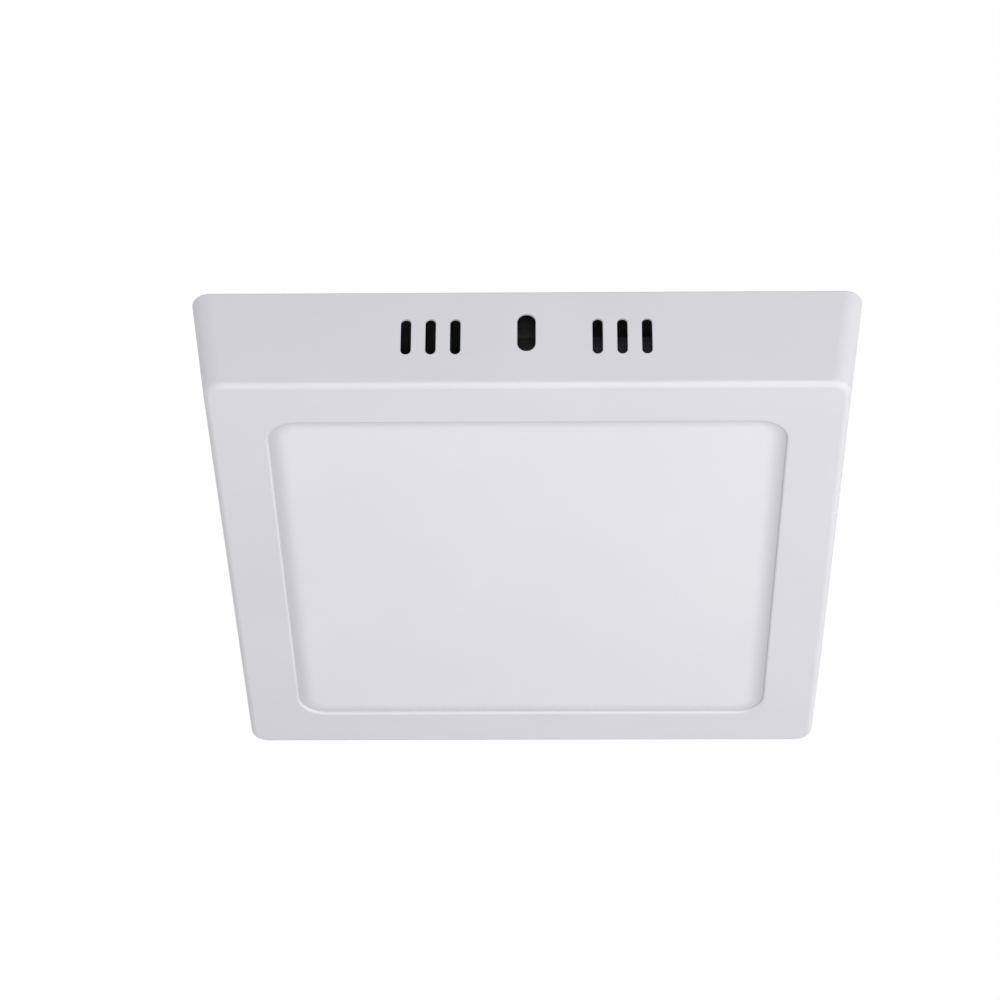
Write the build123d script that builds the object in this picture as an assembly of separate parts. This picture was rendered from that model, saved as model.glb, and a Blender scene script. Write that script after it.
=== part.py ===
from build123d import *
from math import radians, tan
import os

# Square surface-mounted LED ceiling light, edge-lit, with its ceiling plate and latches.
# Millimetres. Z = 0 is the ceiling and +Z is up, so the light hangs below Z = 0.
# -Y is the front wall. The origin is the centre of the cable entry, in the ceiling plane.

# Housing: a die casting whose walls lean in towards the face
rim_width = 225.0  # outer width where it meets the ceiling
wall_lean = 5.8  # how far each wall leans in on its way down to the face
housing_height = 36.0
corner_radius = 6.5
wall = 1.0
face_thickness = 1.0
face_border = 19.45  # width of the face round the window
face_edge_radius = 2.2
rim_edge_radius = 0.7
window_corner_radius = 10.0
window_lip_radius = 0.8

# Vents in each wall, and the release oval in the front and back walls
vent_width = 3.45
vent_height = 13.6
vent_drop = 17.2  # ceiling to the middle of a slot
vent_first = 23.6  # middle of the wall to the nearest slot
vent_pitch = 8.2
vent_count = 3  # slots on each side of the middle
oval_width = 6.1
oval_height = 14.4
oval_drop = 15.7
vent_edge_radius = 0.2

# Optical stack on the inner side of the face
diffuser_thickness = 1.5
guide_thickness = 2.5
reflector_thickness = 0.4
sheet_overlap = 2.75  # how far the sheets reach past the window's edge
sheet_corner_radius = 2.0

# LED boards, on edge round the light guide
strip_thickness = 1.0
strip_height = 4.0
strip_lift = 0.2  # gap under a board
strip_end_gap = 2.0  # how far a board stops short of the sheets' corner
chip_length = 4.0
chip_height = 1.4
chip_depth = 0.7
chip_count = 22  # on each board
optical_gap = 0.3  # LED to light guide
link_diameter = 0.8  # jumper wires between boards
link_spacing = 1.6
link_wall_gap = 0.3

# Rib that holds the stack, and the bosses for the screws
rib = 1.8
pocket_corner_radius = 3.0
boss_radius = 3.5
boss_overlap = 0.5  # how far a boss runs into the rib
boss_spread = 60.0  # middle of the wall to a back plate screw
pilot_floor = 0.3  # casting left under a pilot hole, above the face

# Back plate
back_plate_thickness = 1.0
back_plate_corner_radius = 8.0
back_plate_margin = 0.3  # how far it reaches past the latch leaves

# Screws, studs and nuts, M3
screw_diameter = 3.0
screw_head_diameter = 5.6
screw_head_height = 1.9
screw_head_edge_radius = 0.6
screw_drive_width = 0.8
screw_drive_length = 3.2
screw_drive_depth = 1.0
screw_tip_gap = 0.3
stud_head_diameter = 4.8
stud_proud = 1.0  # above its nut
nut_across_flats = 5.5
nut_height = 2.4
fit_gap = 0.05  # radial gap of a round piece seated in its hole
hole_gap = 0.2  # radial gap of a screw or stud through a sheet

# Mounting plate: a pressed steel tray inside the housing's rim
plate_thickness = 0.8
tray_depth = 6.0
tray_gap = 0.9  # to the housing wall at the tray's lower edge
tray_corner_radius = 6.5
tray_bend_radius = 1.5
ceiling_screw_spacing_x = 130.0
ceiling_screw_spacing_y = 100.0
ceiling_slot_width = 4.5
ceiling_slot_length = 12.0

# Cable grommet
cable_bore = 9.0
grommet_hole = 14.0
grommet_flange = 19.0
grommet_flange_thickness = 1.8
grommet_edge_radius = 0.6

# Latches: a steel bracket under the plate, and a leaf spring with a barb on the light
bracket_thickness = 1.0
bracket_width = 30.0
bracket_foot = 14.0
bracket_bend_radius = 0.5  # on the inside of the bend
bracket_window_width = 9.0
bracket_window_room = 0.5  # above the barb
bracket_sill = 5.0  # below the window
leaf_thickness = 0.5
leaf_height = 10.0
leaf_gap = 0.7  # leaf to bracket
leaf_reach = 44.0  # screw to the barb's middle
leaf_tip = 6.0  # past the barb's middle
leaf_root_width = 12.0
leaf_bend_radius = 0.5
leaf_foot_end = 4.5  # past the screw
latch_seat_gap = 0.3  # barb to window sill
latch_play = 0.1  # foot to back plate, and screw head to foot
head_room = 1.2  # latch screw's head to the leaf
barb_width = 6.0
barb_height = 5.6
barb_setback = 0.05  # barb's tip to the bracket's outer face
barb_side_gap = 0.2

# Driver, with its ears on two studs
driver_length = 110.0
driver_width = 40.0
driver_y = 42.0
driver_wall = 1.6
driver_base_height = 12.0
driver_cover_height = 9.0
driver_corner_radius = 2.5
driver_edge_radius = 0.8
driver_ear_length = 10.0
driver_ear_width = 14.0
driver_ear_thickness = 2.0
cover_lip_height = 1.5
cover_lip = 1.0
cover_lip_gap = 0.15
rail_height = 2.0
rail_width = 2.0
circuit_thickness = 1.6
circuit_gap = 0.3

# Pieces on the driver's circuit board
core_length = 20.0
core_width = 10.0
core_height = 13.0
core_yoke = 2.5
core_leg = 3.5
core_centre_leg = 6.0
coil_build = 3.2  # thickness of the taped coil round its leg
coil_gap = 0.15
first_capacitor_radius = 5.0
first_capacitor_height = 12.5
second_capacitor_radius = 4.0
second_capacitor_height = 11.0
capacitor_edge_radius = 0.8
film_capacitor_length = 6.0
film_capacitor_width = 13.0
film_capacitor_height = 11.0
fuse_diameter = 8.5
fuse_height = 7.7
fuse_gap = 0.3  # to the safety capacitor
controller_length = 6.5
controller_width = 5.0
controller_height = 2.4
controller_y = 12.0
switch_length = 5.0
switch_width = 4.0
switch_height = 1.6
switch_y = -12.0
rectifier_length = 6.6
rectifier_width = 6.1
rectifier_height = 2.3
rectifier_y = -11.0
connector_length = 7.0
connector_width = 5.0
connector_height = 5.0
connector_inset = 8.0  # driver's inner end wall to a connector

# Terminal block with push-in poles
terminal_length = 20.0
terminal_width = 22.0
terminal_height = 13.0
terminal_inset = 9.0  # driver's end to the middle of the block
terminal_y = -20.0
terminal_edge_radius = 1.0
terminal_floor = 4.2  # under the clamps
terminal_ear_length = 10.0
terminal_ear_width = 10.0
terminal_ear_thickness = 2.0
pole_pitch = 10.0
supply_bore = 3.4
lead_bore_depth = 5.0
lead_bore_gap = 0.15
clamp_length = 4.5
clamp_width = 4.2
clamp_height = 3.0
clamp_strip = 0.6
button_width = 4.4
button_gap = 0.25
button_proud = 2.0
button_travel = 1.5
button_edge_radius = 0.4
press_gap = 0.2  # pressed button to its clamp

# Leads inside the light
mains_lead_diameter = 2.4
dc_lead_diameter = 1.6
lead_height = 7.6  # back plate to the middle of a lead
bend_share = 0.45  # share of the shorter run that a bend may use
live_wall_y = 10.0  # where the leads pass the driver's end walls, from its middle
neutral_wall_y = -10.0
positive_wall_y = 4.0
negative_wall_y = 12.0
live_turn_gap = 10.0  # driver's ears to where the leads turn
neutral_turn_gap = 1.0
dc_turn_gap = 9.0
dc_lead_pitch = 1.8
dc_end_height = 1.4  # face's inner side to the middle of the DC leads at their board
lead_notch_width = 7.0

# DC grommet in the back plate
dc_grommet_bore = 4.0
dc_grommet_hole = 6.5
dc_grommet_flange = 8.5
dc_grommet_flange_thickness = 1.2
dc_grommet_gap = 0.4  # flange to rib

overcut = 1.0  # how far a cut runs past the face it opens
touch = 0.01  # two places closer than this are one

# Heights, from the face up
face_z = -housing_height
seat_z = face_z + face_thickness
diffuser_top = seat_z + diffuser_thickness
guide_top = diffuser_top + guide_thickness
stack_top = guide_top + reflector_thickness
deck = stack_top + back_plate_thickness
lead_z = deck + lead_height
plate_under = -plate_thickness

# Widths, from the window out
face_width = rim_width - 2 * wall_lean
window_width = face_width - 2 * face_border
sheet_width = window_width + 2 * sheet_overlap
strip_inner = sheet_width / 2 + optical_gap + chip_depth
pocket_half = strip_inner + strip_thickness
strip_length = sheet_width - 2 * strip_end_gap
rib_outer = pocket_half + rib
boss_line = rib_outer + boss_radius - boss_overlap
leaf_inner = boss_line + screw_head_diameter / 2 + head_room
leaf_outer = leaf_inner + leaf_thickness
bracket_inner = leaf_outer + leaf_gap
bracket_outer = bracket_inner + bracket_thickness
back_plate_half = leaf_outer + back_plate_margin

sides = {"front": 0, "right": 90, "back": 180, "left": 270}
latch_sides = {"front": 0, "back": 180}
on_base = (Align.CENTER, Align.CENTER, Align.MIN)


# Half the housing's outer width at a height
def outer_half(z):
    return rim_width / 2 + wall_lean * z / housing_height


# Half the width inside the housing's walls at a height
def inner_half(z):
    return outer_half(z) - wall


def block(x, y, bottom, length, width, height):
    return Pos(x, y, bottom) * Box(length, width, height, align=on_base)


def peg(x, y, bottom, radius, height):
    return Pos(x, y, bottom) * Cylinder(radius, height, align=on_base)


# A flat rounded square about the Z axis
def sheet(width, radius, bottom, thickness):
    return Pos(0, 0, bottom) * extrude(RectangleRounded(width, width, radius), thickness)


def turned(angle, shape):
    return Rot(0, 0, angle) * shape


def lowest_edges(shape):
    return shape.edges().group_by(Axis.Z)[0]


def highest_edges(shape):
    return shape.edges().group_by(Axis.Z)[-1]


def upright_edges(shape):
    return shape.edges().filter_by(Axis.Z)


# Screw places: two for each wall, and one more for each latch
boss_places = []
for angle in sides.values():
    for along in (-boss_spread, boss_spread):
        boss_places.append(turned(angle, Pos(along, -boss_line, 0)).position)
latch_places = [turned(angle, Pos(leaf_reach, -boss_line, 0)).position for angle in latch_sides.values()]

# Places that follow the driver's ends
terminal_x = terminal_inset - driver_length / 2
ear_end = driver_length / 2 + driver_ear_length
live_turn_x = -(ear_end + live_turn_gap)
neutral_turn_x = -(ear_end + neutral_turn_gap)
dc_turn_x = ear_end + dc_turn_gap

# Stud places and the thickness each one clamps: the driver's two ears and the terminal block's ear
driver_stud_x = (driver_length + driver_ear_length) / 2
terminal_stud_y = terminal_y - (terminal_width + terminal_ear_width) / 2
stud_places = [
    (-driver_stud_x, driver_y, driver_ear_thickness),
    (driver_stud_x, driver_y, driver_ear_thickness),
    (terminal_x, terminal_stud_y, terminal_ear_thickness),
]

dc_grommet_y = rib_outer + dc_grommet_gap + dc_grommet_flange / 2


# A block with the housing's taper, its walls moved in by an inset and its corners rounded
def tapered_block(inset, radius, bottom, top):
    low = outer_half(bottom) - inset
    high = outer_half(top) - inset
    outline = Polyline((-low, bottom), (low, bottom), (high, top), (-high, top), close=True)
    wedge = extrude(Plane.XZ * make_face(outline), rim_width, both=True)
    frustum = wedge & turned(90, wedge)
    corners = [e for e in frustum.edges() if bottom + touch < (e @ 0.5).Z < top - touch]
    return fillet(corners, radius)


# An upright slot through the front and back walls
def wall_slot(x, drop, width, height):
    outline = Plane.XZ * Pos(x, -drop) * SlotOverall(height, width, rotation=90)
    return extrude(outline, rim_width, both=True)


def vent_slots():
    slots = []
    for number in range(vent_count):
        reach = vent_first + number * vent_pitch
        for x in (-reach, reach):
            slots.append(wall_slot(x, vent_drop, vent_width, vent_height))
    return slots


# How far out the middle of an edge lies, towards the nearest wall
def edge_reach(edge):
    middle = edge @ 0.5
    return max(abs(middle.X), abs(middle.Y))


# Whether an edge is a vent's rim on the outside of a wall
def is_vent_rim(edge):
    middle = edge @ 0.5
    aside = min(abs(middle.X), abs(middle.Y))
    last_vent = vent_first + (vent_count - 1) * vent_pitch + vent_width
    below_rim = middle.Z < -rim_edge_radius - touch
    on_outside = abs(edge_reach(edge) - outer_half(middle.Z)) < touch
    return on_outside and aside < last_vent and below_rim


def make_housing():
    outside = tapered_block(0, corner_radius, face_z, 0)
    outside = fillet(lowest_edges(outside), face_edge_radius)
    outside = fillet(highest_edges(outside), rim_edge_radius)
    cavity = tapered_block(wall, corner_radius - wall, seat_z, overcut)
    window = sheet(window_width, window_corner_radius, face_z - overcut, face_thickness + 2 * overcut)
    body = outside - cavity - window
    lip = [e for e in lowest_edges(body) if edge_reach(e) < window_width / 2 + touch]
    body = fillet(lip, window_lip_radius)
    rib_height = stack_top - seat_z
    body += sheet(2 * rib_outer, pocket_corner_radius + rib, seat_z, rib_height)
    for place in boss_places + latch_places:
        body += peg(place.X, place.Y, seat_z, boss_radius, rib_height)
    body -= sheet(2 * pocket_half, pocket_corner_radius, seat_z, rib_height)
    for place in boss_places + latch_places:
        body -= peg(place.X, place.Y, seat_z + pilot_floor, screw_diameter / 2 + fit_gap, rib_height)
    rib_middle = pocket_half + rib / 2
    body -= block(dc_turn_x, rib_middle, seat_z, lead_notch_width, rib + 2 * overcut, rib_height)
    slots = vent_slots()
    body -= slots
    body -= [turned(90, slot) for slot in slots]
    body -= wall_slot(0, oval_drop, oval_width, oval_height)
    return fillet([e for e in body.edges() if is_vent_rim(e)], vent_edge_radius)


def make_strip():
    y = -(strip_inner + strip_thickness / 2)
    return block(0, y, seat_z + strip_lift, strip_length, strip_thickness, strip_height)


def make_chips():
    pitch = strip_length / chip_count
    bottom = (diffuser_top + guide_top - chip_height) / 2
    y = -(strip_inner - chip_depth / 2)
    places = [(number - (chip_count - 1) / 2) * pitch for number in range(chip_count)]
    return [block(x, y, bottom, chip_length, chip_depth, chip_height) for x in places]


# A tube along straight runs joined by tangent arcs
def tube(points, diameter, radii):
    path = FilletPolyline(*points, radius=radii)
    section = Plane(path @ 0, z_dir=path % 0) * Circle(diameter / 2)
    return sweep(section, path=path)


# Bends as wide as their runs allow
def bend_radii(points):
    radii = []
    for before, corner, after in zip(points, points[1:], points[2:]):
        run_in = Vector(*corner) - Vector(*before)
        run_out = Vector(*after) - Vector(*corner)
        half_turn = radians(run_in.get_angle(run_out) / 2)
        radii.append(bend_share * min(run_in.length, run_out.length) / tan(half_turn))
    return radii


# Two jumper wires round the corner between the front and left boards
def make_links():
    line = pocket_half - link_wall_gap - link_diameter / 2
    bend = pocket_corner_radius - link_wall_gap - link_diameter / 2
    end = strip_length / 2
    middle = seat_z + strip_lift + strip_height / 2
    links = []
    for z in (middle - link_spacing / 2, middle + link_spacing / 2):
        points = [(-end, -line, z), (-line, -line, z), (-line, -end, z)]
        links.append(tube(points, link_diameter, [bend]))
    return links


def make_back_plate():
    plate = sheet(2 * back_plate_half, back_plate_corner_radius, stack_top, back_plate_thickness)
    for place in boss_places + latch_places:
        plate -= peg(place.X, place.Y, stack_top, screw_diameter / 2 + hole_gap, back_plate_thickness)
    for x, y, _ in stud_places:
        plate -= peg(x, y, stack_top, stud_head_diameter / 2 + fit_gap, back_plate_thickness)
    plate -= peg(dc_turn_x, dc_grommet_y, stack_top, dc_grommet_hole / 2, back_plate_thickness)
    return plate


# A pan head screw, with the underside of its head at a height
def make_screw(place, seat):
    tip = seat_z + pilot_floor + screw_tip_gap
    head = peg(0, 0, 0, screw_head_diameter / 2, screw_head_height)
    head = fillet(highest_edges(head), screw_head_edge_radius)
    drive_bottom = screw_head_height - screw_drive_depth
    head -= block(0, 0, drive_bottom, screw_drive_length, screw_drive_width, screw_drive_depth)
    head -= block(0, 0, drive_bottom, screw_drive_width, screw_drive_length, screw_drive_depth)
    return Pos(place.X, place.Y, seat) * (head + peg(0, 0, tip - seat, screw_diameter / 2, seat - tip))


def make_stud(x, y, clamped):
    reach = back_plate_thickness + clamped + nut_height + stud_proud
    head = peg(x, y, stack_top, stud_head_diameter / 2, back_plate_thickness)
    return head + peg(x, y, stack_top, screw_diameter / 2, reach)


def make_nut(x, y, clamped):
    outline = RegularPolygon(nut_across_flats / 2, 6, major_radius=False)
    nut = Pos(x, y, deck + clamped) * extrude(outline, nut_height)
    return nut - peg(x, y, deck + clamped, screw_diameter / 2 + fit_gap, nut_height)


def make_mounting_plate():
    width = 2 * (inner_half(-tray_depth) - tray_gap)
    tray = sheet(width, tray_corner_radius, -tray_depth, tray_depth)
    tray = fillet(highest_edges(tray), tray_bend_radius)
    inside_width = width - 2 * plate_thickness
    inside_radius = tray_corner_radius - plate_thickness
    inside_depth = tray_depth - plate_thickness + overcut
    inside = sheet(inside_width, inside_radius, -tray_depth - overcut, inside_depth)
    tray -= fillet(highest_edges(inside), tray_bend_radius - plate_thickness)
    slot = extrude(SlotOverall(ceiling_slot_length, ceiling_slot_width), plate_thickness)
    for x in (-ceiling_screw_spacing_x / 2, ceiling_screw_spacing_x / 2):
        for y in (-ceiling_screw_spacing_y / 2, ceiling_screw_spacing_y / 2):
            tray -= Pos(x, y, plate_under) * slot
    return tray - peg(0, 0, plate_under, grommet_hole / 2, plate_thickness)


def make_cable_grommet():
    sleeve = peg(0, 0, plate_under, grommet_hole / 2 - fit_gap, plate_thickness)
    bottom = plate_under - grommet_flange_thickness
    flange = peg(0, 0, bottom, grommet_flange / 2, grommet_flange_thickness)
    flange = fillet(lowest_edges(flange), grommet_edge_radius)
    return sleeve + flange - peg(0, 0, bottom, cable_bore / 2, -bottom)


# Heights on the latch, about the middle of the release oval
barb_top = -oval_drop + barb_height / 2
barb_bottom = barb_top - barb_height
sill_z = barb_bottom - latch_seat_gap
bracket_bottom = sill_z - bracket_sill


# A bar along X about a given place, from the corners (y, z) of its section
def angle_section(corners, width, x):
    outline = Plane.YZ * make_face(Polyline(*corners, close=True))
    return Pos(x - width / 2, 0, 0) * extrude(outline, width)


# Edges along X at a given place in Y and Z
def edges_along_x(shape, y, z):
    found = []
    for edge in shape.edges().filter_by(Axis.X):
        middle = edge @ 0.5
        if abs(middle.Y - y) < touch and abs(middle.Z - z) < touch:
            found.append(edge)
    return found


def make_latch_bracket():
    foot_under = plate_under - bracket_thickness
    foot_end = -bracket_outer + bracket_foot
    corners = [
        (-bracket_outer, plate_under),
        (foot_end, plate_under),
        (foot_end, foot_under),
        (-bracket_inner, foot_under),
        (-bracket_inner, bracket_bottom),
        (-bracket_outer, bracket_bottom),
    ]
    bracket = angle_section(corners, bracket_width, 0)
    bracket = fillet(edges_along_x(bracket, -bracket_inner, foot_under), bracket_bend_radius)
    outer_bend = bracket_bend_radius + bracket_thickness
    bracket = fillet(edges_along_x(bracket, -bracket_outer, plate_under), outer_bend)
    window_height = barb_top + bracket_window_room - sill_z
    middle_y = -(bracket_inner + bracket_outer) / 2
    depth = bracket_thickness + 2 * overcut
    return bracket - block(0, middle_y, sill_z, bracket_window_width, depth, window_height)


def make_latch_spring():
    foot_bottom = deck + latch_play
    foot_top = foot_bottom + leaf_thickness
    leaf_top = -oval_drop + leaf_height / 2
    foot_end = -boss_line + leaf_foot_end
    corners = [
        (-leaf_outer, leaf_top),
        (-leaf_inner, leaf_top),
        (-leaf_inner, foot_top),
        (foot_end, foot_top),
        (foot_end, foot_bottom),
        (-leaf_outer, foot_bottom),
    ]
    spring = angle_section(corners, leaf_root_width, leaf_reach)
    spring = fillet(edges_along_x(spring, -leaf_inner, foot_top), leaf_bend_radius)
    spring = fillet(edges_along_x(spring, -leaf_outer, foot_bottom), leaf_bend_radius + leaf_thickness)
    leaf_y = -(leaf_inner + leaf_outer) / 2
    arm_length = leaf_reach + leaf_tip
    arm_middle = (leaf_reach - leaf_tip) / 2
    spring += block(arm_middle, leaf_y, leaf_top - leaf_height, arm_length, leaf_thickness, leaf_height)
    opening = barb_width + 2 * barb_side_gap
    spring -= block(0, leaf_y, sill_z, opening, leaf_thickness, barb_top - sill_z)
    tip = -(bracket_outer - barb_setback)
    barb_corners = [
        (-leaf_outer, barb_top),
        (tip, barb_bottom),
        (tip + leaf_thickness, barb_bottom),
        (-leaf_inner, barb_top),
    ]
    spring += angle_section(barb_corners, barb_width, 0)
    hole_radius = screw_diameter / 2 + hole_gap
    return spring - peg(leaf_reach, -boss_line, foot_bottom, hole_radius, leaf_thickness)


# Heights and widths inside the driver
driver_floor = deck + driver_wall
circuit_top = driver_floor + rail_height + circuit_thickness
driver_split = deck + driver_base_height
driver_inner_length = driver_length - 2 * driver_wall
driver_inner_width = driver_width - 2 * driver_wall
driver_inner_radius = driver_corner_radius - driver_wall
connector_x = driver_inner_length / 2 - connector_inset - connector_length / 2
connector_face = connector_x + connector_length / 2

# The row of pieces along the board, evenly spaced between the connectors
row_end = connector_x - connector_length / 2
row_widths = [
    fuse_diameter,
    2 * first_capacitor_radius,
    controller_length,
    core_length,
    rectifier_length,
    2 * second_capacitor_radius,
]
row_gap = (2 * row_end - sum(row_widths)) / (len(row_widths) + 1)
row_places = []
row_start = -row_end
for width in row_widths:
    row_places.append(row_start + row_gap + width / 2)
    row_start += row_gap + width
fuse_y = -(film_capacitor_width + fuse_diameter) / 2 - fuse_gap
fuse_x, first_capacitor_x, controller_x, core_x, rectifier_x, second_capacitor_x = row_places


# A rounded box about the driver's middle
def driver_box(length, width, radius, bottom, height):
    return Pos(0, driver_y, bottom) * extrude(RectangleRounded(length, width, radius), height)


# The room inside the driver's walls
def driver_room(bottom, height):
    return driver_box(driver_inner_length, driver_inner_width, driver_inner_radius, bottom, height)


# A round hole along X through a driver end wall
def end_wall_hole(end, wall_y, diameter):
    middle = Pos(end * (driver_length - driver_wall) / 2, driver_y + wall_y, lead_z)
    return middle * Rot(0, 90, 0) * Cylinder(diameter / 2 + lead_bore_gap, driver_wall + 2 * overcut)


def make_driver_base():
    base = driver_box(driver_length, driver_width, driver_corner_radius, deck, driver_base_height)
    base -= driver_room(driver_floor, driver_base_height)
    rail_y = (driver_inner_width - rail_width) / 2
    for y in (driver_y - rail_y, driver_y + rail_y):
        base += block(0, y, driver_floor, driver_inner_length, rail_width, rail_height)
    for x, y, _ in stud_places[:2]:
        base += block(x, y, deck, driver_ear_length, driver_ear_width, driver_ear_thickness)
        base -= peg(x, y, deck, screw_diameter / 2 + hole_gap, driver_ear_thickness)
    for wall_y in (live_wall_y, neutral_wall_y):
        base -= end_wall_hole(-1, wall_y, mains_lead_diameter)
    for wall_y in (positive_wall_y, negative_wall_y):
        base -= end_wall_hole(1, wall_y, dc_lead_diameter)
    return base


def make_driver_cover():
    height = driver_cover_height
    cover = driver_box(driver_length, driver_width, driver_corner_radius, driver_split, height)
    cover = fillet(highest_edges(cover), driver_edge_radius)
    cover -= driver_room(driver_split, height - driver_wall)
    lip_length = driver_inner_length - 2 * cover_lip_gap
    lip_width = driver_inner_width - 2 * cover_lip_gap
    lip_bottom = driver_split - cover_lip_height
    ring = driver_room(driver_split, cover_lip_height)
    ring += driver_box(lip_length, lip_width, driver_inner_radius, lip_bottom, cover_lip_height)
    hollow_length = lip_length - 2 * cover_lip
    hollow_width = lip_width - 2 * cover_lip
    ring -= driver_box(hollow_length, hollow_width, driver_inner_radius, lip_bottom, 2 * cover_lip_height)
    return cover + ring


def make_driver_board():
    length = driver_inner_length - 2 * circuit_gap
    width = driver_inner_width - 2 * circuit_gap
    return block(0, driver_y, circuit_top - circuit_thickness, length, width, circuit_thickness)


def make_transformer_core():
    core = block(core_x, driver_y, circuit_top, core_length, core_width, core_height)
    opening = (core_length - core_centre_leg) / 2 - core_leg
    opening_x = (core_centre_leg + opening) / 2
    height = core_height - 2 * core_yoke
    for x in (core_x - opening_x, core_x + opening_x):
        core -= block(x, driver_y, circuit_top + core_yoke, opening, core_width, height)
    return core


def make_transformer_coil():
    hole_length = core_centre_leg + 2 * coil_gap
    hole_width = core_width + 2 * coil_gap
    outline = RectangleRounded(hole_length + 2 * coil_build, hole_width + 2 * coil_build, coil_build / 2)
    outline -= Rectangle(hole_length, hole_width)
    bottom = circuit_top + core_yoke + coil_gap
    return Pos(core_x, driver_y, bottom) * extrude(outline, core_height - 2 * core_yoke - 2 * coil_gap)


def make_filter_capacitors():
    cans = [
        peg(first_capacitor_x, driver_y, circuit_top, first_capacitor_radius, first_capacitor_height),
        peg(second_capacitor_x, driver_y, circuit_top, second_capacitor_radius, second_capacitor_height),
    ]
    return [fillet(highest_edges(can), capacitor_edge_radius) for can in cans]


# Beside the fuse
def make_safety_capacitor():
    size = (film_capacitor_length, film_capacitor_width, film_capacitor_height)
    return block(fuse_x, driver_y, circuit_top, *size)


# The controller and its switch on both sides of the row, and the output rectifier
def make_driver_chips():
    packages = [
        (controller_x, controller_y, controller_length, controller_width, controller_height),
        (controller_x, switch_y, switch_length, switch_width, switch_height),
        (rectifier_x, rectifier_y, rectifier_length, rectifier_width, rectifier_height),
    ]
    return [block(x, driver_y + y, circuit_top, *size) for x, y, *size in packages]


def make_board_connectors():
    places = [(-connector_x, live_wall_y), (-connector_x, neutral_wall_y)]
    places += [(connector_x, positive_wall_y), (connector_x, negative_wall_y)]
    return [
        block(x, driver_y + y, circuit_top, connector_length, connector_width, connector_height)
        for x, y in places
    ]


# Heights and places in the terminal block
terminal_top = deck + terminal_height
well_bottom = deck + terminal_floor
well_width = button_width + 2 * button_gap
clamp_top = well_bottom + clamp_height
button_bottom = clamp_top + press_gap + button_travel
pole_y = {"live": terminal_y - pole_pitch / 2, "neutral": terminal_y + pole_pitch / 2}
terminal_end = terminal_x - terminal_length / 2


def make_terminal_body():
    body = block(terminal_x, terminal_y, deck, terminal_length, terminal_width, terminal_height)
    body = fillet(highest_edges(body) + upright_edges(body), terminal_edge_radius)
    ear_y = terminal_stud_y + terminal_edge_radius / 2
    ear_width = terminal_ear_width + terminal_edge_radius
    body += block(terminal_x, ear_y, deck, terminal_ear_length, ear_width, terminal_ear_thickness)
    body -= peg(terminal_x, terminal_stud_y, deck, screw_diameter / 2 + hole_gap, terminal_ear_thickness)
    along_x = Rot(0, 90, 0)
    supply = along_x * Cylinder(supply_bore / 2, terminal_length / 2, align=on_base)
    lead_bore_radius = mains_lead_diameter / 2 + lead_bore_gap
    lead_bore = along_x * Cylinder(lead_bore_radius, lead_bore_depth, align=on_base)
    for y in pole_y.values():
        body -= block(terminal_x, y, well_bottom, well_width, well_width, terminal_top - well_bottom)
        body -= Pos(terminal_x, y, lead_z) * supply
        body -= Pos(terminal_end, y, lead_z) * lead_bore
    return body


# A spring clamp: a strip bent to a U, open towards the button
def make_clamp(y):
    clamp = block(terminal_x, y, well_bottom, clamp_length, clamp_width, clamp_height)
    bottom = well_bottom + clamp_strip
    inner_length = clamp_length - 2 * clamp_strip
    return clamp - block(terminal_x, y, bottom, inner_length, clamp_width, clamp_height)


def make_button(y):
    height = terminal_top + button_proud - button_bottom
    button = block(terminal_x, y, button_bottom, button_width, button_width, height)
    return fillet(highest_edges(button), button_edge_radius)


# A mains lead from its terminal, round to the driver's left end
def make_mains_lead(pole, wall_y, turn_x):
    points = [
        (terminal_end + lead_bore_depth, pole_y[pole], lead_z),
        (turn_x, pole_y[pole], lead_z),
        (turn_x, driver_y + wall_y, lead_z),
        (-connector_face, driver_y + wall_y, lead_z),
    ]
    return tube(points, mains_lead_diameter, bend_radii(points))


# A DC lead from the driver's right end, down through its grommet to the back LED board
def make_dc_lead(wall_y, aside):
    x = dc_turn_x + aside
    end_z = seat_z + dc_end_height
    points = [
        (connector_face, driver_y + wall_y, lead_z),
        (x, driver_y + wall_y, lead_z),
        (x, dc_grommet_y, lead_z),
        (x, dc_grommet_y, end_z),
        (x, pocket_half, end_z),
    ]
    return tube(points, dc_lead_diameter, bend_radii(points))


def make_dc_grommet():
    flange_radius = dc_grommet_flange / 2
    bottom = stack_top - dc_grommet_flange_thickness
    full_height = back_plate_thickness + 2 * dc_grommet_flange_thickness
    grommet = peg(dc_turn_x, dc_grommet_y, bottom, dc_grommet_hole / 2 - fit_gap, full_height)
    for z in (bottom, deck):
        grommet += peg(dc_turn_x, dc_grommet_y, z, flange_radius, dc_grommet_flange_thickness)
    return grommet - peg(dc_turn_x, dc_grommet_y, bottom, dc_grommet_bore / 2, full_height)


latch_head_seat = deck + 2 * latch_play + leaf_thickness
link_angles = (-90, 0, 90)  # corners with jumper wires: all but one

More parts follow.
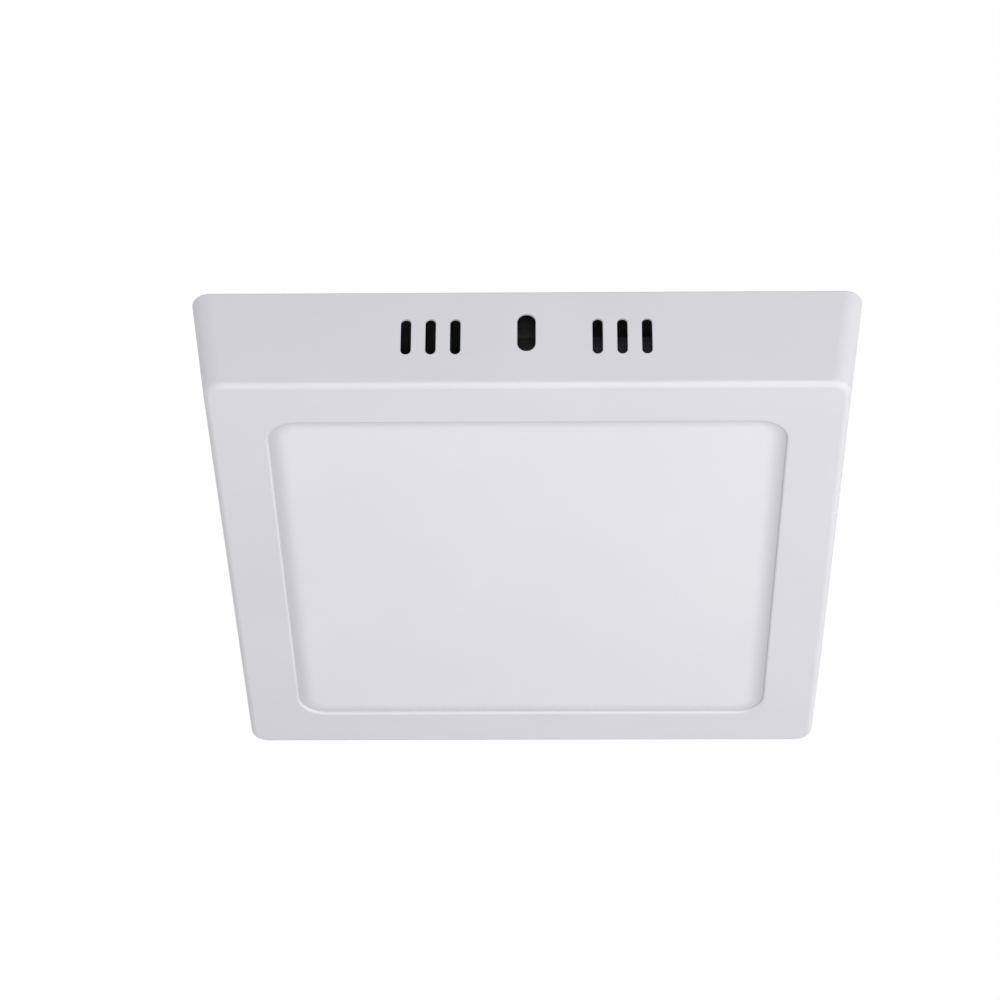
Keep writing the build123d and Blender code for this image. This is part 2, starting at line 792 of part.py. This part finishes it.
nodes = {
    "mounting_plate": [make_mounting_plate()],
    "cable_grommet": [make_cable_grommet()],
    "housing": [make_housing()],
    "diffuser": [sheet(sheet_width, sheet_corner_radius, seat_z, diffuser_thickness)],
    "light_guide": [sheet(sheet_width, sheet_corner_radius, diffuser_top, guide_thickness)],
    "reflector_sheet": [sheet(sheet_width, sheet_corner_radius, guide_top, reflector_thickness)],
    "strip_links": [turned(angle, link) for angle in link_angles for link in make_links()],
    "back_plate": [make_back_plate()],
    "back_plate_screws": [make_screw(place, deck) for place in boss_places],
    "latch_screws": [make_screw(place, latch_head_seat) for place in latch_places],
    "clinch_studs": [make_stud(x, y, clamped) for x, y, clamped in stud_places],
    "stud_nuts": [make_nut(x, y, clamped) for x, y, clamped in stud_places],
    "driver_base": [make_driver_base()],
    "driver_cover": [make_driver_cover()],
    "driver_board": [make_driver_board()],
    "transformer_core": [make_transformer_core()],
    "transformer_coil": [make_transformer_coil()],
    "filter_capacitors": make_filter_capacitors(),
    "safety_capacitor": [make_safety_capacitor()],
    "fuse": [peg(fuse_x, driver_y + fuse_y, circuit_top, fuse_diameter / 2, fuse_height)],
    "driver_chips": make_driver_chips(),
    "board_connectors": make_board_connectors(),
    "terminal_body": [make_terminal_body()],
    "terminal_clamps": [make_clamp(y) for y in pole_y.values()],
    "live_lead": [make_mains_lead("live", live_wall_y, live_turn_x)],
    "neutral_lead": [make_mains_lead("neutral", neutral_wall_y, neutral_turn_x)],
    "dc_lead_positive": [make_dc_lead(positive_wall_y, dc_lead_pitch / 2)],
    "dc_lead_negative": [make_dc_lead(negative_wall_y, -dc_lead_pitch / 2)],
    "dc_grommet": [make_dc_grommet()],
}
for side, angle in sides.items():
    nodes[f"led_strip_{side}"] = [turned(angle, make_strip())]
    nodes[f"led_chips_{side}"] = [turned(angle, chip) for chip in make_chips()]
for side, angle in latch_sides.items():
    nodes[f"latch_bracket_{side}"] = [turned(angle, make_latch_bracket())]
    nodes[f"latch_spring_{side}"] = [turned(angle, make_latch_spring())]
for pole, y in pole_y.items():
    nodes[f"release_button_{pole}"] = [make_button(y)]

os.makedirs("parts", exist_ok=True)
for name, shapes in nodes.items():
    solids = [solid for shape in shapes for solid in shape.solids()]
    export_step(solids[0] if len(solids) == 1 else Compound(solids), f"parts/{name}.step")
print(len(nodes), "nodes")
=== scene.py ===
import math
import bpy
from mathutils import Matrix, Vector

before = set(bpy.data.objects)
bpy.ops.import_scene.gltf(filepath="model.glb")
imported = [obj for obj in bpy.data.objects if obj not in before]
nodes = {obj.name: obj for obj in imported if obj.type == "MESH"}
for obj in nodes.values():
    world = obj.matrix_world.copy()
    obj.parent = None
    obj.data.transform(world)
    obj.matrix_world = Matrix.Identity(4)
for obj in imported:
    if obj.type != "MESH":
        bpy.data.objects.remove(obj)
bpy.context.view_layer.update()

# Square LED ceiling light, hung with its face down. Metres, in the CAD frame:
# the ceiling is at z 0 and the front wall is towards -Y.
print("frame loaded:", len(nodes), "nodes")


# sRGB hex to the linear colour that shaders work in
def hexToLinear(code):
    channels = [int(code[i:i + 2], 16) / 255 for i in (1, 3, 5)]
    linear = [c / 12.92 if c <= 0.04045 else ((c + 0.055) / 1.055) ** 2.4 for c in channels]
    return (*linear, 1.0)


# adds a node, sets its options, and fills its sockets from other sockets or plain values
def addNode(tree, kind, sockets=None, **options):
    node = tree.nodes.new(kind)
    for key, value in options.items():
        setattr(node, key, value)
    for key, value in (sockets or {}).items():
        if isinstance(value, bpy.types.NodeSocket):
            tree.links.new(value, node.inputs[key])
        else:
            node.inputs[key].default_value = value
    return node


def metres(millimetres):
    return millimetres / 1000


# how often a pattern repeats in a metre when one piece of it is this many millimetres wide
def perMetre(millimetres):
    return 1000 / millimetres


# Every finish here is made the same way: slow patches move the colour between two close tones,
# and a fine grain moves the roughness and lifts the surface by a real height. A grain that is
# really finer than a pixel, about 0.3 mm, is drawn coarser so that it shows.
noiseUse = {
    "spread": (0.35, 0.65),  # where along the patches the two tones stand, unless a finish says
    "grainSpan": (0.3, 0.7),  # most of the grain lies between these
    "grainDetail": 3.0,
}


def makeFinish(name, finish):
    material = bpy.data.materials.new(name)
    material.use_nodes = True
    tree = material.node_tree
    shader = tree.nodes["Principled BSDF"]
    place = addNode(tree, "ShaderNodeTexCoord").outputs["Object"]
    if "stretch" in finish:  # how much longer the pattern is along each axis
        squeeze = [1 / s for s in finish["stretch"]]
        place = addNode(tree, "ShaderNodeMapping", {"Vector": place, "Scale": squeeze}).outputs["Vector"]
    patchKind = "ShaderNodeTexVoronoi" if finish.get("cells") else "ShaderNodeTexNoise"
    patches = addNode(tree, patchKind, {"Vector": place, "Scale": perMetre(finish["patchMm"])})
    tones = addNode(tree, "ShaderNodeValToRGB", {"Fac": patches.outputs["Color"]})
    spread = finish.get("spread", noiseUse["spread"])
    for element, position, code in zip(tones.color_ramp.elements, spread, finish["tones"]):
        element.position = position
        element.color = hexToLinear(code)
    colour = tones.outputs["Color"]
    if "paintedShade" in finish:  # painted shade: a rounded square whose rim fades to a darker tone
        paintedShade = finish["paintedShade"]
        innerX, innerY = [metres(half - paintedShade["cornerMm"]) for half in paintedShade["halfMm"]]
        zero = (0, 0, 0)
        inner = (innerX, innerY, 1)  # a metre in Z, so that height never counts
        reach = place
        for step, other in (("ABSOLUTE", zero), ("SUBTRACT", inner), ("MAXIMUM", zero)):
            moved = addNode(tree, "ShaderNodeVectorMath", {0: reach, 1: other}, operation=step)
            reach = moved.outputs["Vector"]
        outward = addNode(tree, "ShaderNodeVectorMath", {0: reach}, operation="LENGTH").outputs["Value"]
        # how far the painted shade reaches in from the rim
        shadeFade = addNode(tree, "ShaderNodeMapRange", {
            "Value": outward, "From Min": metres(paintedShade["cornerMm"] - paintedShade["fadeMm"]),
            "From Max": metres(paintedShade["cornerMm"])}, interpolation_type="SMOOTHSTEP")
        mixed = addNode(tree, "ShaderNodeMix", {  # sockets 6, 7 and 2 are the ones for colours
            0: shadeFade.outputs["Result"], 6: colour, 7: hexToLinear(paintedShade["tone"])}, data_type="RGBA")
        colour = mixed.outputs[2]
    grain = addNode(tree, "ShaderNodeTexNoise", {
        "Vector": place, "Scale": perMetre(finish["grainMm"]), "Detail": noiseUse["grainDetail"]})
    start, end = noiseUse["grainSpan"]
    low, high = finish["roughness"]
    rough = addNode(tree, "ShaderNodeMapRange", {
        "Value": grain.outputs["Fac"], "From Min": start, "From Max": end, "To Min": low, "To Max": high})
    lift = addNode(tree, "ShaderNodeBump", {
        "Height": grain.outputs["Fac"], "Distance": metres(finish["heightMm"]), "Strength": 1.0})
    tree.links.new(colour, shader.inputs["Base Color"])
    tree.links.new(rough.outputs["Result"], shader.inputs["Roughness"])
    tree.links.new(lift.outputs["Normal"], shader.inputs["Normal"])
    for socket, value in finish.get("shader", {}).items():
        shader.inputs[socket].default_value = value
    return material


# puts one finish on some of the CAD nodes
def dress(finishName, finish, *nodeNames):
    material = makeFinish(finishName, finish)
    for nodeName in nodeNames:
        for slot in nodes[nodeName].material_slots:
            slot.material = material


# Housing: die-cast aluminium under sprayed and baked polyester powder. The powder flows into low
# waves about 1.5 mm wide, so highlights are broad and soft and edges look a little blurred.
satinPowderCoat = {
    "tones": ("#E7E6EB", "#EAE9EE"),
    "patchMm": 45,
    "grainMm": 1.5,
    "heightMm": 0.003,
    "roughness": (0.38, 0.46),
    "shader": {"IOR": 1.5},
}
dress("satinPowderCoat", satinPowderCoat, "housing")

# Diffuser: extruded opal acrylic with a matt face. Light sinks in a little before it comes back,
# which hides any texture and leaves an even milky white. Its rim by the frame has painted shade, where the
# lip shades it.
opalAcrylic = {
    "tones": ("#F0EFF3", "#F3F2F5"),
    # painted shade on the rim next to the frame, darker where the lip shades it
    "paintedShade": {
        "halfMm": (87.3, 88.8),  # half its width in X and in Y
        "cornerMm": 10.0,
        "fadeMm": 7.0,
        # colour of the painted shade
        "tone": "#D4D3D8",
    },
    "patchMm": 70,
    "grainMm": 0.8,
    "heightMm": 0.001,
    "roughness": (0.48, 0.56),
    "shader": {
        "IOR": 1.49,
        "Subsurface Weight": 0.25,
        "Subsurface Radius": (1.0, 1.0, 1.0),
        "Subsurface Scale": 0.0012,
    },
}
dress("opalAcrylic", opalAcrylic, "diffuser")
print("housing and diffuser dressed")

# Light guide: cast clear acrylic, sawn and polished at its edges, so it is clear with bright rims
clearAcrylic = {
    "tones": ("#F2F7F7", "#F7FAFA"),
    "patchMm": 90,
    "grainMm": 2.0,
    "heightMm": 0.0005,
    "roughness": (0.03, 0.07),
    "shader": {"IOR": 1.49, "Transmission Weight": 0.9},
}
dress("clearAcrylic", clearAcrylic, "light_guide")

# Reflector: white foamed polyester film, rolled flat, with a dull even face
foamedPolyesterFilm = {
    "tones": ("#F0F0EF", "#F4F4F3"),
    "patchMm": 50,
    "grainMm": 0.7,
    "heightMm": 0.002,
    "roughness": (0.6, 0.7),
    "shader": {"IOR": 1.57},
}
dress("foamedPolyesterFilm", foamedPolyesterFilm, "reflector_sheet")

# LED boards: white solder mask, screen-printed and cured, with a faint ripple
whiteSolderMask = {
    "tones": ("#E9E9E4", "#EFEFEB"),
    "patchMm": 12,
    "grainMm": 0.6,
    "heightMm": 0.004,
    "roughness": (0.28, 0.4),
    "shader": {"IOR": 1.52},
}
sides = ("front", "right", "back", "left")
dress("whiteSolderMask", whiteSolderMask, *[f"led_strip_{side}" for side in sides])

# LEDs: cast silicone with yellow phosphor settled in it, a soft cloudy yellow
phosphorSilicone = {
    "tones": ("#E3BE55", "#F0D27A"),
    "patchMm": 1.5,
    "grainMm": 0.3,
    "heightMm": 0.002,
    "roughness": (0.35, 0.5),
    "shader": {"IOR": 1.41},
}
dress("phosphorSilicone", phosphorSilicone, *[f"led_chips_{side}" for side in sides])

# Back plate: rolled aluminium sheet. Rolling leaves fine lines along it that stretch its highlights.
rolledAluminium = {
    "tones": ("#BFC0C3", "#CBCCCE"),
    "patchMm": 3.0,  # real lines are 0.2 mm apart, drawn coarser to show
    "grainMm": 1.2,
    "stretch": (40.0, 1.0, 1.0),
    "heightMm": 0.002,
    "roughness": (0.28, 0.42),
    "shader": {"Metallic": 1.0, "Anisotropic": 0.4},
}
dress("rolledAluminium", rolledAluminium, "back_plate")

# Ceiling plate: hot-dip galvanised steel. The zinc freezes into flat crystals, and each of them
# catches the light its own way.
galvanisedSteel = {
    "tones": ("#A8ADB1", "#BBBFC2"),
    "spread": (0.1, 0.9),
    "cells": True,
    "patchMm": 9.0,
    "grainMm": 1.6,
    "heightMm": 0.003,
    "roughness": (0.34, 0.52),
    "shader": {"Metallic": 1.0},
}
dress("galvanisedSteel", galvanisedSteel, "mounting_plate")

# Screws, studs and nuts: turned steel, zinc plated, bright with a faint blue
zincPlatedSteel = {
    "tones": ("#AEB4BC", "#C4C8CE"),
    "patchMm": 1.2,
    "grainMm": 0.4,
    "heightMm": 0.002,
    "roughness": (0.22, 0.36),
    "shader": {"Metallic": 1.0},
}
dress("zincPlatedSteel", zincPlatedSteel, "back_plate_screws", "latch_screws", "clinch_studs", "stud_nuts")

# Latch brackets: pressed steel, phosphated black, a dense dull crystal skin with little shine
blackPhosphatedSteel = {
    "tones": ("#2E2E2F", "#383839"),
    "patchMm": 1.6,  # crystals are finer, drawn coarser to show
    "grainMm": 0.5,
    "heightMm": 0.004,
    "roughness": (0.5, 0.66),
    "shader": {"Metallic": 0.4},
}
dress("blackPhosphatedSteel", blackPhosphatedSteel, "latch_bracket_front", "latch_bracket_back")

# Latch leaves: hardened spring strip, blackened in a hot bath. The oxide skin is dull, so light that
# reaches it spreads, and the rolling lines along the strip still show a little.
blackenedSpringSteel = {
    "tones": ("#323338", "#3D3E44"),
    "patchMm": 1.0,  # real lines are finer, drawn coarser to show
    "grainMm": 0.6,
    "stretch": (30.0, 1.0, 1.0),
    "heightMm": 0.002,
    "roughness": (0.45, 0.58),
    "shader": {"Metallic": 0.3},
}
dress("blackenedSpringSteel", blackenedSpringSteel, "latch_spring_front", "latch_spring_back")

# Grommets: moulded rubber with a greyish bloom, nearly no highlight
mouldedRubber = {
    "tones": ("#1B1B1C", "#252526"),
    "patchMm": 5.0,
    "grainMm": 0.4,
    "heightMm": 0.006,
    "roughness": (0.62, 0.8),
    "shader": {"IOR": 1.52},
}
dress("mouldedRubber", mouldedRubber, "cable_grommet", "dc_grommet")

# Driver case: moulded polycarbonate, spark-eroded tool, a fine even sparkle
mouldedPolycarbonate = {
    "tones": ("#DEDEDA", "#E4E4E1"),
    "patchMm": 20,
    "grainMm": 0.6,
    "heightMm": 0.008,
    "roughness": (0.45, 0.6),
    "shader": {"IOR": 1.58},
}
dress("mouldedPolycarbonate", mouldedPolycarbonate, "driver_base", "driver_cover")

# Circuit board: pressed phenolic paper, tan, with paper fibres showing
phenolicPaper = {
    "tones": ("#A8803F", "#C39A57"),
    "patchMm": 1.4,  # real fibres are finer, drawn coarser to show
    "grainMm": 0.5,
    "stretch": (6.0, 1.0, 1.0),
    "heightMm": 0.003,
    "roughness": (0.35, 0.5),
    "shader": {"IOR": 1.55},
}
dress("phenolicPaper", phenolicPaper, "driver_board")

# Transformer core: fired and ground ferrite, dark grey and slightly porous
groundFerrite = {
    "tones": ("#2A292B", "#38373A"),
    "patchMm": 1.2,
    "grainMm": 0.3,
    "heightMm": 0.006,
    "roughness": (0.5, 0.68),
    "shader": {"IOR": 1.8},
}
dress("groundFerrite", groundFerrite, "transformer_core")

# Coil: wrapped in yellow polyester tape, wound tight, so it shines in bands
polyesterTape = {
    "tones": ("#D9AE24", "#EBC63E"),
    "patchMm": 2.5,
    "grainMm": 0.8,
    "stretch": (8.0, 8.0, 1.0),
    "heightMm": 0.01,
    "roughness": (0.14, 0.26),
    "shader": {"IOR": 1.57},
}
dress("polyesterTape", polyesterTape, "transformer_coil")

# Capacitor cans: shrunk PVC sleeve, dark blue and glossy
shrunkPvcSleeve = {
    "tones": ("#1E2440", "#293052"),
    "patchMm": 4.0,
    "grainMm": 0.8,
    "heightMm": 0.006,
    "roughness": (0.16, 0.3),
    "shader": {"IOR": 1.54},
}
dress("shrunkPvcSleeve", shrunkPvcSleeve, "filter_capacitors")

# Film capacitor: moulded yellow polyester box, even with a dull shine
mouldedPolyester = {
    "tones": ("#D3A420", "#E0B433"),
    "patchMm": 4.0,
    "grainMm": 0.4,
    "heightMm": 0.006,
    "roughness": (0.38, 0.52),
    "shader": {"IOR": 1.55},
}
dress("mouldedPolyester", mouldedPolyester, "safety_capacitor")

# Fuse and chips: transfer-moulded epoxy, matt and dark
mouldedEpoxy = {
    "tones": ("#1D1B1A", "#282624"),
    "patchMm": 2.0,
    "grainMm": 0.25,
    "heightMm": 0.005,
    "roughness": (0.5, 0.64),
    "shader": {"IOR": 1.55},
}
dress("mouldedEpoxy", mouldedEpoxy, "fuse", "driver_chips")

# Connectors: moulded natural nylon, off-white and a little waxy
naturalNylon = {
    "tones": ("#E2E0D6", "#E9E7DF"),
    "patchMm": 6.0,
    "grainMm": 0.4,
    "heightMm": 0.004,
    "roughness": (0.34, 0.46),
    "shader": {"IOR": 1.53},
}
dress("naturalNylon", naturalNylon, "board_connectors")

# Terminal block: moulded grey nylon with a soft sheen
greyNylon = {
    "tones": ("#C9CBCC", "#D2D4D4"),
    "patchMm": 8.0,
    "grainMm": 0.5,
    "heightMm": 0.006,
    "roughness": (0.4, 0.54),
    "shader": {"IOR": 1.53},
}
dress("greyNylon", greyNylon, "terminal_body")

# Release buttons: moulded orange nylon, smooth and bright
orangeNylon = {
    "tones": ("#DB6A17", "#E67A26"),
    "patchMm": 3.0,
    "grainMm": 0.4,
    "heightMm": 0.004,
    "roughness": (0.32, 0.44),
    "shader": {"IOR": 1.53},
}
dress("orangeNylon", orangeNylon, "release_button_live", "release_button_neutral")

# Clamps: rolled and bent brass strip, bright yellow
bentBrass = {
    "tones": ("#B8934A", "#CBA75E"),
    "patchMm": 1.5,
    "grainMm": 0.4,
    "heightMm": 0.002,
    "roughness": (0.24, 0.38),
    "shader": {"Metallic": 1.0},
}
dress("bentBrass", bentBrass, "terminal_clamps")

# Leads: extruded PVC over copper, smooth with a soft shine
extrudedPvc = {
    "patchMm": 8.0,
    "grainMm": 0.5,
    "heightMm": 0.004,
    "roughness": (0.32, 0.44),
    "shader": {"IOR": 1.54},
}
leadTones = {
    "live_lead": ("brownPvc", ("#4A2A18", "#573320")),
    "neutral_lead": ("bluePvc", ("#1F4A94", "#2857A6")),
    "dc_lead_positive": ("redPvc", ("#A81F1C", "#B92B26")),
    "dc_lead_negative": ("blackPvc", ("#171718", "#202021")),
    "strip_links": ("whitePvc", ("#DCDCD8", "#E4E4E1")),
}
for lead, (finishName, tones) in leadTones.items():
    dress(finishName, {**extrudedPvc, "tones": tones}, lead)
print("inner pieces dressed")

# Stage: a floor in rolled matt paint far below, and a white world. Only the camera, mirrors and
# clear pieces see the white. The light that the world gives is set apart from it.
stage = {
    "floorDrop": 2.4,
    "floorSize": 40.0,
    "ambient": 0.415,  # strength of the world's light
    "ambientTone": "#FDFDFF",
}
palePaint = {
    "tones": ("#EDEDED", "#F1F1F1"),
    "patchMm": 900,
    "grainMm": 40,
    "heightMm": 0.05,
    "roughness": (0.6, 0.7),
}
reachOut = stage["floorSize"] / 2
floorMesh = bpy.data.meshes.new("floor")
corners = [(x * reachOut, y * reachOut, -stage["floorDrop"]) for x, y in ((-1, -1), (1, -1), (1, 1), (-1, 1))]
floorMesh.from_pydata(corners, [], [(0, 1, 2, 3)])
floor = bpy.data.objects.new("floor", floorMesh)
bpy.context.scene.collection.objects.link(floor)
floorMesh.materials.append(makeFinish("palePaint", palePaint))

world = bpy.data.worlds.new("whiteRoom")
bpy.context.scene.world = world
world.use_nodes = True
tree = world.node_tree
tree.nodes.clear()
rays = addNode(tree, "ShaderNodeLightPath")
seen = rays.outputs["Is Camera Ray"]
for kind in ("Is Glossy Ray", "Is Transmission Ray"):
    either = addNode(tree, "ShaderNodeMath", {0: seen, 1: rays.outputs[kind]}, operation="MAXIMUM")
    seen = either.outputs["Value"]
glow = addNode(tree, "ShaderNodeBackground", {
    "Color": hexToLinear(stage["ambientTone"]), "Strength": stage["ambient"]})
white = addNode(tree, "ShaderNodeBackground", {"Color": (1.0, 1.0, 1.0, 1.0), "Strength": 1.0})
chosen = addNode(tree, "ShaderNodeMixShader", {
    0: seen, 1: glow.outputs["Background"], 2: white.outputs["Background"]})
addNode(tree, "ShaderNodeOutputWorld", {"Surface": chosen.outputs["Shader"]})

# Soft boxes: where each stands, its size in metres and its power in watts, all aimed at the light
aim = Vector((0.0, 0.0, -0.02))  # the middle of the light, 20 mm under the ceiling
softBoxes = {
    "front": {"place": (0.10, -1.00, -0.75), "size": 0.6, "power": 5.6},
    "below": {"place": (0.45, 0.05, -0.95), "size": 0.8, "power": 3.1},
    "right": {"place": (1.00, -0.20, -0.30), "size": 0.6, "power": 2.5},
    "left": {"place": (-1.00, -0.20, -0.30), "size": 0.6, "power": 0.6},
}
for name, box in softBoxes.items():
    lamp = bpy.data.lights.new(name, "AREA")
    lamp.shape = "SQUARE"
    lamp.size = box["size"]
    lamp.energy = box["power"]
    holder = bpy.data.objects.new(name, lamp)
    holder.location = box["place"]
    holder.rotation_euler = (aim - holder.location).to_track_quat("-Z", "Y").to_euler()
    bpy.context.scene.collection.objects.link(holder)
bpy.context.scene.view_settings.view_transform = "Standard"
print("stage lit")

# Camera: below and in front, looking up, with a long lens
view = {
    "place": (0.00828, -0.88153, -0.68084),
    "turn": (127.6232, -0.4222, 0.9016),  # degrees about X, Y, Z
    "lens": 110.43,
}
lens = bpy.data.cameras.new("camera")
lens.lens = view["lens"]
camera = bpy.data.objects.new("camera", lens)
camera.location = view["place"]
camera.rotation_euler = [math.radians(angle) for angle in view["turn"]]
bpy.context.scene.collection.objects.link(camera)
bpy.context.scene.camera = camera
